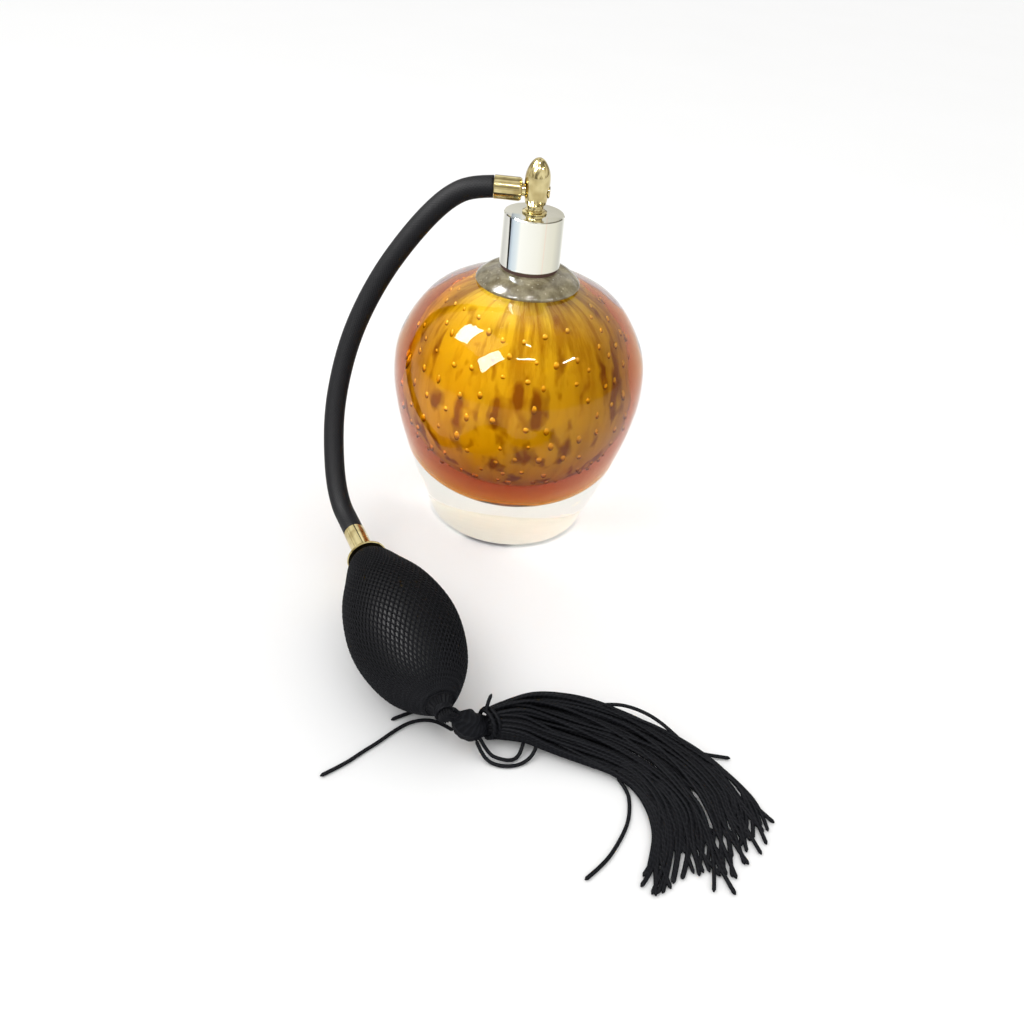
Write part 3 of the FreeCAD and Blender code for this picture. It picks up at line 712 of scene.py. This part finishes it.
def strand_route(number):
    """One strand through the stations: it keeps its place in the bundle, drifting a little.

    across runs from the front edge (-1) to the back edge (1), and level from the lowest strand (-1) to the
    highest (1).
    """
    share = (number + 0.5) / STRAND_COUNT
    spread = ((number * GOLDEN) % 1.0) - 0.5
    across = BUNDLE_EDGE * (0.62 * 2.0 * spread + 0.38 * math.sin(math.pi * spread))
    roof = math.sqrt(max(0.0, 1.0 - across * across))
    level = (2.0 * share - 1.0) * roof
    drift = dice.uniform(-0.26, 0.26)
    lift = dice.uniform(-0.22, 0.22)
    stray = dice.uniform(0.5, 1.1)
    points = []
    for k, (back, front, height) in enumerate(STATIONS):
        part = across + drift * math.sin(k * stray + number)
        part = max(-BUNDLE_EDGE, min(BUNDLE_EDGE, part))
        middle = [(b + f) / 2.0 for b, f in zip(back, front)]
        half = [(b - f) / 2.0 for b, f in zip(back, front)]
        raised = 0.5 + 0.5 * (level + lift * math.sin(k * 1.3 + number))
        z = CORD_RADIUS + (height - 2 * CORD_RADIUS) * raised
        sag = 1.0 if k < 2 else 0.55 + 0.45 * (1.0 + part) / 2.0
        z = CORD_RADIUS + 0.15 + (z - CORD_RADIUS) * sag
        points.append((middle[0] + part * half[0], middle[1] + part * half[1], max(z, CORD_RADIUS + 0.1)))
    place = (1.0 - across) / 2.0 * (len(TIPS) - 1)
    low = min(int(place), len(TIPS) - 2)
    mix = place - low
    tip = [TIPS[low][i] * (1 - mix) + TIPS[low + 1][i] * mix for i in range(2)]
    last = points[-1]
    reach = 1.0 - (0.0 if number % 5 == 0 else dice.uniform(0.05, 0.75))
    curl = dice.uniform(-3.4, 3.4)
    for share_on in (0.5, 1.0):
        on = share_on * reach
        points.append((last[0] + (tip[0] - last[0]) * on + curl * (1 if share_on == 1.0 else -0.4),
                       last[1] + (tip[1] - last[1]) * on,
                       last[2] + (CORD_RADIUS + 0.12 - last[2]) * share_on))
    return points


STEPS_A_TURN = 28


def wound(axis_from, axis_to, radius, turns, thick, name, body):
    """A cord wound at one radius round a line from axis_from to axis_to."""
    axis = Vector(axis_to) - Vector(axis_from)
    one = axis.orthogonal().normalized()
    two = axis.normalized().cross(one)
    points = []
    for step in range(int(turns * STEPS_A_TURN) + 1):
        share = step / (turns * STEPS_A_TURN)
        angle = TURN * (turns * share)
        place = Vector(axis_from) + axis * share
        points.append(place + one * math.cos(angle) * radius + two * math.sin(angle) * radius)
    line = np.array(points)
    verts, faces, uvs = tube_mesh(line, rounded_ends(line, thick), 8)
    obj = make_mesh(name, verts, faces, STRAND, uvs)
    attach(obj, body)
    return obj


def make_tassel():
    for number in range(STRAND_COUNT):
        strand = cord_piece(f"tassel_strand_{number + 1:02d}", strand_route(number),
                            CORD_RADIUS * dice.uniform(0.94, 1.08))
        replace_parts(strand, "tassel_skirt")
    for name, route in (("stray_left_long", LEFT_STRAY), ("stray_left_short", SHORT_STRAY),
                        ("stray_right", RIGHT_STRAY), ("arched_strand", ARCHED_STRAND),
                        ("knot_loop_front", FRONT_LOOP), ("knot_loop_inner", INNER_LOOP)):
        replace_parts(cord_piece(name, route), "tassel_strays")
    spike = cord_piece("knot_spike", TOP_SPIKE, declared=False)
    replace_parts(spike, "tassel_strays")
    # The knot: a rippled bundle that swells in the middle, with one cord wound round its wide end.
    core = through(KNOT_ROUTE, KNOT_RINGS)
    swell = [min(1.0, max(0.0, (k - 3) / 21.0)) for k in range(KNOT_RINGS)]
    fat = [1.25 + 3.0 * math.sin(math.pi * s) ** 1.1 for s in swell]
    verts, faces, uvs = tube_mesh(core, fat, KNOT_AROUND)
    for k, v in enumerate(verts):
        ring, place = divmod(k, KNOT_AROUND)
        ripple = 0.5 * math.cos(TURN * place / KNOT_AROUND * KNOT_FOLDS + ring * 0.55) * dice.uniform(0.7, 1.0)
        away = Vector(v) - Vector(core[ring])
        verts[k] = Vector(v) + away.normalized() * ripple
    knot = make_mesh("tassel_knot_core", verts, faces, STRAND, uvs)
    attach(knot, "tassel")
    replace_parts(knot, "tassel_knot")
    wound((0.2, -121.2, 7.2), (2.9, -119.0, 6.4), 4.2, 1.8, 0.62, "tassel_knot_winding", "tassel")


make_tassel()
# The cords in strand_pieces, longest first. Up to the most cords a model may have.
strand_pieces.sort(key=lambda entry: -length_of(entry[1]))


# ---------------------------------------------------------------- bulb
MOUTH = Vector((-44.3, -64.4, 17.4))
AXIS = Vector((0.4664, -0.8846, 0.0))
ACROSS = Vector((0.8846, 0.4664, 0.0))
BULB_OUTLINE = [
    (4.5, 0.0), (7.2, 4.0), (10.2, 11.0), (14.5, 22.0), (16.8, 36.0), (15.9, 46.0),
    (12.8, 56.0), (8.3, 63.0), (4.2, 67.5)]
BULB_LENGTH = 67.5
NET_COLUMNS = 60
NET_ROWS = 52
NET_STEPS = 6
NET_CORD = 0.27
NET_WAVE = 0.56
NET_LIFT = 0.30
NET_WEAVE = 0.12


def bulb_point(radius, angle, along):
    return MOUTH + AXIS * along + (ACROSS * math.cos(angle) + UP * math.sin(angle)) * radius


def make_bulb():
    outline = through(BULB_OUTLINE, 60)
    profile = [(0.0, 0.0)] + [tuple(p) for p in outline] + [(0.0, BULB_LENGTH)]
    verts, faces = turned_mesh(profile, 64)
    placed = [MOUTH + AXIS * z + ACROSS * x + UP * y for x, y, z in verts]
    rubber = make_mesh("bulb_rubber_body", placed, faces, BULB_RUBBER)
    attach(rubber, "bulb")
    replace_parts(rubber, "bulb_left_half", "bulb_right_half")

    spread = even(outline, 400)
    rows = even(outline, NET_ROWS)
    step = length_of(outline) / (NET_ROWS - 1)
    parts = []
    samples = NET_COLUMNS * NET_STEPS
    for k in range(NET_ROWS):
        points = []
        for m in range(samples + 1):
            wave = TURN * m / NET_STEPS + math.pi * k
            along = rows[k][1] + NET_WAVE * step * math.cos(wave) * (1.0 if 0 < k < NET_ROWS - 1 else 0.3)
            along = min(max(along, 0.0), BULB_LENGTH)
            skin = float(np.interp(along, spread[:, 1], spread[:, 0]))
            radius = skin + NET_LIFT + NET_WEAVE * math.sin(2 * wave)
            point = bulb_point(radius, TURN * m / samples, along)
            point.z = max(point.z, NET_CORD + 0.02)
            points.append(point)
        parts.append(tube_mesh(np.array(points), NET_CORD, 5, closed=True))
    verts, faces, uvs = joined(parts)
    net = make_mesh("bulb_net", verts, faces, NET, uvs)
    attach(net, "bulb")
    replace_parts(net, "net_left_half", "net_right_half")
    for obj in (rubber, net):
        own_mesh(obj)


def make_tail():
    """The net drawn together behind the bulb, the cord tied round it and the loop on to the tassel."""
    pleats, rings, around = 16, 22, 96
    verts, faces = [], []
    for k in range(rings):
        share = k / (rings - 1)
        along = 65.6 + 7.4 * share
        radius = 6.2 - 4.2 * math.sin(math.pi * min(1.0, share * 1.3) / 2)
        for m in range(around):
            angle = TURN * m / around
            fold = 1.0 + (0.08 + 0.06 * share) * math.cos(pleats * angle)
            verts.append(bulb_point(radius * fold, angle + 0.25 * share, along))
    for k in range(rings - 1):
        for m in range(around):
            n = (m + 1) % around
            faces.append((k * around + m, k * around + n, (k + 1) * around + n, (k + 1) * around + m))
    faces.append(tuple(range(around - 1, -1, -1)))
    faces.append(tuple((rings - 1) * around + m for m in range(around)))
    gather = make_mesh("net_gathered_end", verts, faces, NET)
    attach(gather, "bulb")
    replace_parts(gather, "net_gather")
    tie = wound(bulb_point(0, 0, 69.2), bulb_point(0, 0, 71.2), 2.5, 3.2, 0.42, "net_tie_cord", "bulb")
    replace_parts(tie, "net_tie")
    for number, shift in enumerate((-0.9, 0.9)):
        route = [bulb_point(0.6, 0, 71.5) + Vector((0, 0, shift)), (-9.4, -125.0 + shift, 16.2),
                 (-7.6, -124.6 + shift, 14.0), (-5.6, -123.8, 11.6)]
        line = nurbs_line([tuple(p) for p in route], 0.5)
        verts, faces, uvs = tube_mesh(line, 0.75, 8)
        loop = make_mesh(f"tassel_loop_{number + 1}", verts, faces, STRAND, uvs)
        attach(loop, "tassel")
        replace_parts(loop, "tassel_loop")


make_bulb()
make_tail()


# ---------------------------------------------------------------- bottle
CASING_OUTLINE = [
    (27.0, 0.0), (30.0, 1.4), (31.4, 5.0), (34.0, 12.0), (37.4, 22.0), (41.1, 34.0),
    (43.9, 46.0), (45.2, 58.0), (44.0, 69.0), (39.2, 79.0), (33.0, 86.6), (25.6, 91.0), (17.3, 93.4)]
RING_OUTLINE = [(17.3, 93.4), (18.0, 94.1), (17.5, 95.0), (14.2, 97.5), (10.4, 98.8)]
NECK = [(7.5, 98.8), (7.5, 112.4), (6.2, 112.4), (6.2, 95.4)]
AMBER_OUTLINE = [
    (0.0, 17.4), (10.0, 18.4), (19.0, 23.0), (25.5, 32.0), (29.2, 45.0), (30.0, 57.0),
    (28.4, 69.0), (24.4, 79.0), (17.0, 87.2), (9.0, 92.4), (6.6, 95.0)]
MAUVE_OUTLINE = [
    (0.0, 16.9), (10.0, 17.9), (19.2, 22.4), (26.0, 31.4), (30.4, 44.6), (32.2, 57.0),
    (31.4, 69.5), (27.4, 80.0), (19.4, 88.2), (10.0, 92.6), (6.6, 95.4)]
CORE_OUTLINE = [
    (0.0, 26.8), (9.0, 28.2), (17.0, 32.8), (22.8, 41.2), (25.8, 52.0), (26.0, 61.0),
    (24.0, 72.0), (19.0, 82.0), (12.0, 89.0), (7.4, 93.0), (6.2, 96.0)]
FOOT_TOP = 2.0
LAYER_TOP = 92.6
RING_BASE = 93.55
CORE_MOUTH = 6.4
BUBBLE_COLUMNS = 21
BUBBLE_ROWS = [32.0, 36.5, 42.0, 48.0, 54.5, 61.0, 67.5, 74.0, 80.0]
BUBBLE_SIZES = (0.55, 0.95)
BUBBLE_STRETCH = (1.0, 1.7)
BUBBLES_MISSING = 0.14


def make_bottle():
    side = [tuple(p) for p in through(CASING_OUTLINE, 90)]
    neck_root = [(6.2, 93.4), (0.0, 92.9)]
    casing_profile = [(0.0, 0.0), (14.0, 0.0)] + side + neck_root
    verts, faces = turned_mesh(casing_profile, 128)
    casing = make_mesh("bottle_casing", verts, faces, CASING)
    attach(casing, "bottle")
    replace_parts(casing, "glass_bottle")
    casing.visible_shadow = False
    casing.data.materials.append(GROUND_FOOT)
    for face in casing.data.polygons:
        if face.center.z < FOOT_TOP * MM:
            face.material_index = 1

    ring_side = [tuple(p) for p in through(RING_OUTLINE, 24)]
    ring_foot = [(CORE_MOUTH, RING_BASE), (17.2, RING_BASE)]
    verts, faces = turned_mesh(ring_foot + ring_side[1:] + NECK, 96, closed=True)
    ring = make_mesh("bottle_neck_ring", verts, faces, RING_GLASS)
    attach(ring, "bottle")
    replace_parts(ring, "glass_bottle")

    for name, outline, mat in (("bottle_mauve_layer", MAUVE_OUTLINE, MAUVE),
                               ("bottle_amber_layer", AMBER_OUTLINE, AMBER),
                               ("bottle_gold_layer", CORE_OUTLINE, CORE)):
        line = [tuple(p) for p in through(outline, 80)]
        line[0] = (0.0, line[0][1])
        line = [p for p in line if p[1] < LAYER_TOP] + [(CORE_MOUTH, LAYER_TOP), (0.0, LAYER_TOP)]
        verts, faces = turned_mesh(line, 112)
        layer = make_mesh(name, verts, faces, mat)
        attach(layer, "bottle")
        layer.visible_shadow = mat is CORE


def make_bubbles():
    """Rows of small air bubbles held in the glass just outside the gold layer."""
    skin = through(CORE_OUTLINE, 300)
    half_circle = [(math.sin(math.pi * k / 8), -math.cos(math.pi * k / 8)) for k in range(9)]
    ball, ball_faces = turned_mesh(half_circle, 12)
    parts = []
    for row, height in enumerate(BUBBLE_ROWS):
        for column in range(BUBBLE_COLUMNS):
            angle = TURN * (column + 0.5 * (row % 2)) / BUBBLE_COLUMNS + dice.uniform(-0.07, 0.07)
            z = height + dice.uniform(-1.6, 1.6)
            size = dice.uniform(*BUBBLE_SIZES)
            long = dice.uniform(*BUBBLE_STRETCH)
            if dice.random() < BUBBLES_MISSING:
                continue
            radius = skin[int(np.argmin(np.abs(skin[:, 1] - z)))][0]
            outward = np.array((math.cos(angle), math.sin(angle), 0.0))
            beside = np.array((-math.sin(angle), math.cos(angle), 0.0))
            centre = outward * (radius + 0.35 * size) + np.array((0.0, 0.0, z))
            verts = [centre + size * (outward * x * 0.55 + beside * y + np.array((0.0, 0.0, z_up * long)))
                     for x, y, z_up in ball]
            parts.append((np.array(verts), ball_faces, []))
    verts, faces, _ = joined(parts)
    beads = make_mesh("bottle_bubbles", verts, faces, BEAD)
    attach(beads, "bottle")


make_bottle()
make_bubbles()
finish_cad_nodes()


# ---------------------------------------------------------------- studio
FLOOR_HALF = 6000.0
FLOOR_HEIGHT = -0.05
LAMPS_AIM = (0, -0.02, 0.08)
SKY_STRENGTH = 1.06
SKY = [(0.0, (0.84, 0.84, 0.83)), (0.7, WHITE)]
ROOM = [
    (0.34, (0.22, 0.21, 0.19)), (0.46, (0.50, 0.48, 0.42)), (0.54, (0.92, 0.92, 0.90)),
    (0.70, (1.15, 1.15, 1.15))]
DIM = [(0.0, (0.16, 0.16, 0.16)), (0.25, (0.7, 0.7, 0.7)), (0.6, WHITE)]


def make_floor():
    g = Graph("studio_floor", Roughness=0.85, Specular_IOR_Level=0.1)
    tone = g.mix(g.noise(g.coords(), 6.0, 2.0), (0.91, 0.91, 0.905), (0.93, 0.93, 0.93))
    g.join(tone, g.bsdf.inputs["Base Color"])
    corners = [(x * FLOOR_HALF, y * FLOOR_HALF, FLOOR_HEIGHT) for x, y in ((-1, -1), (1, -1), (1, 1), (-1, 1))]
    floor = make_mesh("floor", corners, [(0, 1, 2, 3)], g.mat, smooth=False)


def area_light(name, place, width, height, power, soft=True, spin=0.0):
    """A lamp facing the bottle and turned by spin degrees. One that isn't soft lights no matt surface."""
    data = bpy.data.lights.new(name, "AREA")
    data.shape = "RECTANGLE"
    data.size = width
    data.size_y = height
    data.energy = power
    light = bpy.data.objects.new(name, data)
    bpy.context.scene.collection.objects.link(light)
    light.location = place
    light.rotation_euler = (Vector(LAMPS_AIM) - Vector(place)).to_track_quat("-Z", "Y").to_euler()
    light.rotation_euler.rotate_axis("Z", math.radians(spin))
    light.visible_diffuse = soft
    light.visible_camera = False


def make_world():
    """A bright plain sky. Polished metal sees a room with softly darker walls, and smooth glass a dimmer front."""
    world = bpy.data.worlds.new("studio")
    bpy.context.scene.world = world
    world.use_nodes = True
    tree = world.node_tree

    def add(kind):
        return tree.nodes.new("ShaderNode" + kind)

    def ramp_of(fac, stops):
        ramp = add("ValToRGB")
        set_stops(ramp, stops)
        tree.links.new(fac, ramp.inputs[0])
        return ramp.outputs[0]

    def choose(fac, no, yes):
        mix = add("Mix")
        mix.data_type = "RGBA"
        for number, value in ((0, fac), (6, no), (7, yes)):
            tree.links.new(value, mix.inputs[number])
        return mix.outputs[2]

    coords = add("TexCoord").outputs["Generated"]
    split = add("SeparateXYZ")
    tree.links.new(coords, split.inputs[0])
    walls = add("TexNoise")
    walls.inputs["Scale"].default_value = 2.1
    walls.inputs["Detail"].default_value = 1.0
    tree.links.new(coords, walls.inputs["Vector"])
    path = add("LightPath")
    reflected = choose(path.outputs["Is Singular Ray"],
                       ramp_of(walls.outputs["Fac"], ROOM), ramp_of(split.outputs[1], DIM))
    seen = choose(path.outputs["Is Glossy Ray"], ramp_of(split.outputs[2], SKY), reflected)
    back = tree.nodes["Background"]
    tree.links.new(seen, back.inputs["Color"])
    back.inputs["Strength"].default_value = SKY_STRENGTH


make_floor()
make_world()
area_light("softbox", (-0.55, -0.35, 0.95), 0.6, 0.6, 2.5)
area_light("window_upper", (-0.581, -0.07, 0.759), 0.22, 0.42, 14.0, soft=False, spin=32.0)
area_light("window_lower", (-0.374, -0.583, 0.657), 0.17, 0.33, 8.0, soft=False, spin=-38.0)
area_light("tube_middle", (0.111, -0.614, 0.751), 0.27, 0.014, 3.5, soft=False)
area_light("tube_right", (0.612, -0.394, 0.645), 0.17, 0.012, 2.5, soft=False)
area_light("spot_middle", (0.085, -0.357, 0.921), 0.035, 0.035, 1.4, soft=False)
bpy.context.scene.view_settings.view_transform = "Standard"
bpy.context.scene.view_settings.look = "None"
